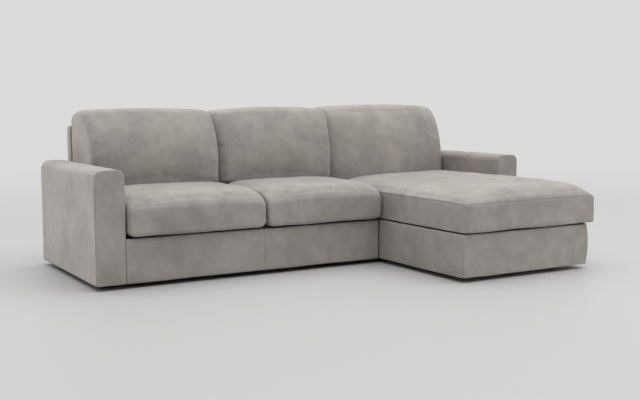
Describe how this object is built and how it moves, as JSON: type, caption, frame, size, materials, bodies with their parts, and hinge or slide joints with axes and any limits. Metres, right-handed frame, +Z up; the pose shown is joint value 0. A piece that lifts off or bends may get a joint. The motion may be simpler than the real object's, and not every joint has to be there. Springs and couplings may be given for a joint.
{
  "type": "chaise sofa bed",
  "caption": "Corner sofa in warm grey microfibre: seat and back flip forward into a bed, and the chaise cushion lifts over a storage box.",
  "frame": {"origin": "centre of the bounding box on the floor, with the bed closed and the lid down", "axes": "+X from the sofa's left arm to the chaise side as seen from the front, +Y from the front to the back, +Z up"},
  "size_m": [2.76, 1.75, 0.9256],
  "materials": {
    "upholstery": "soft brushed microfibre with a mottled nap, warm grey",
    "cushion_fabric": "soft brushed microfibre with a mottled nap, warm grey",
    "frame_wood": "plain sawn pine and plywood",
    "box_board": "plain particle board",
    "slat_wood": "laminated beech, clear lacquer",
    "steel": "grey powder coat, satin",
    "zinc": "bright zinc plate",
    "wire": "galvanised wire",
    "black_plastic": "moulded, matt black",
    "pad_rubber": "matt black",
    "ticking": "knitted mattress ticking, off-white",
    "webbing": "woven elastic webbing, black"
  },
  "bodies": {
    "sofa_base": {"left_arm_frame": "frame_wood", "left_arm_cover": "upholstery", "right_arm_frame": "frame_wood", "right_arm_cover": "upholstery", "sofa_back_frame": "frame_wood", "sofa_back_cover": "upholstery", "chaise_back_frame": "frame_wood", "chaise_back_cover": "upholstery", "front_board": "frame_wood", "front_cover": "upholstery", "left_side_rail": "frame_wood", "right_side_rail": "frame_wood", "rear_rail": "frame_wood", "left_lift_plate": "steel", "right_lift_plate": "steel", "base_cross_tubes": "steel", "rest_pads": "pad_rubber", "sofa_feet": "black_plastic", "chaise_front_board": "box_board", "chaise_left_board": "box_board", "chaise_right_board": "box_board", "chaise_cross_board": "box_board", "chaise_rear_board": "box_board", "chaise_floor_board": "box_board", "chaise_deck_board": "box_board", "chaise_base_cover": "upholstery", "chaise_feet": "black_plastic", "chaise_back_cushion": "cushion_fabric", "lid_hinge_brackets": "zinc", "module_plates": "zinc"},
    "front_lift_links": {"left_lift_links": "zinc", "right_lift_links": "zinc"},
    "rear_lift_links": {"rear_lift_links": "zinc"},
    "head_section": {"head_frame": "steel", "slat_holders": "black_plastic", "head_slats": "slat_wood", "head_mattress": "ticking"},
    "seat_section": {"seat_frame": "steel", "seat_mesh": "wire", "seat_belts": "webbing", "seat_mattress": "ticking", "left_seat_cushion": "cushion_fabric", "right_seat_cushion": "cushion_fabric"},
    "back_section": {"back_section_frame": "steel", "back_section_mesh": "wire", "back_section_belts": "webbing", "back_section_mattress": "ticking", "left_back_cushion": "cushion_fabric", "right_back_cushion": "cushion_fabric"},
    "bed_legs": {"bed_legs": "steel", "leg_caps": "black_plastic"},
    "chaise_lid": {"chaise_lid_board": "box_board", "chaise_cushion": "cushion_fabric", "lid_hinge_arms": "zinc"}
  },
  "joints": [
    {"name": "seat_flip", "type": "hinge", "parent": "head_section", "child": "seat_section", "pos_m": [-0.45, -0.055, 0.161], "axis": [1, 0, 0], "range_deg": [0, 180]},
    {"name": "front_lift", "type": "hinge", "parent": "sofa_base", "child": "front_lift_links", "pos_m": [-0.45, -0.03, 0.187], "axis": [1, 0, 0], "range_deg": [0, 90]},
    {"name": "head_level", "type": "hinge", "parent": "front_lift_links", "child": "head_section", "pos_m": [-0.45, 0.16413, 0.12765], "axis": [1, 0, 0], "range_deg": [-90, 0]},
    {"name": "rear_lift", "type": "hinge", "parent": "sofa_base", "child": "rear_lift_links", "pos_m": [-0.45, 0.151, 0.102], "axis": [1, 0, 0], "range_deg": [0, 90]},
    {"name": "back_fold", "type": "hinge", "parent": "seat_section", "child": "back_section", "pos_m": [-0.45, 0.695, 0.253], "axis": [1, 0, 0], "range_deg": [-90, 0]},
    {"name": "leg_swing", "type": "hinge", "parent": "seat_section", "child": "bed_legs", "pos_m": [-0.45, 0.46452, 0.253], "axis": [1, 0, 0], "range_deg": [0, 90]},
    {"name": "lid_tilt", "type": "hinge", "parent": "sofa_base", "child": "chaise_lid", "pos_m": [0.77, 0.419, 0.45], "axis": [-1, 0, 0], "range_deg": [0, 55]}
  ],
  "couplings": [
    {"joint": "front_lift", "follows": "seat_flip", "ratio": 0.5},
    {"joint": "head_level", "follows": "seat_flip", "ratio": -0.5},
    {"joint": "rear_lift", "follows": "seat_flip", "ratio": 0.5},
    {"joint": "back_fold", "follows": "seat_flip", "ratio": -0.5},
    {"joint": "leg_swing", "follows": "seat_flip", "ratio": 0.5}
  ]
}
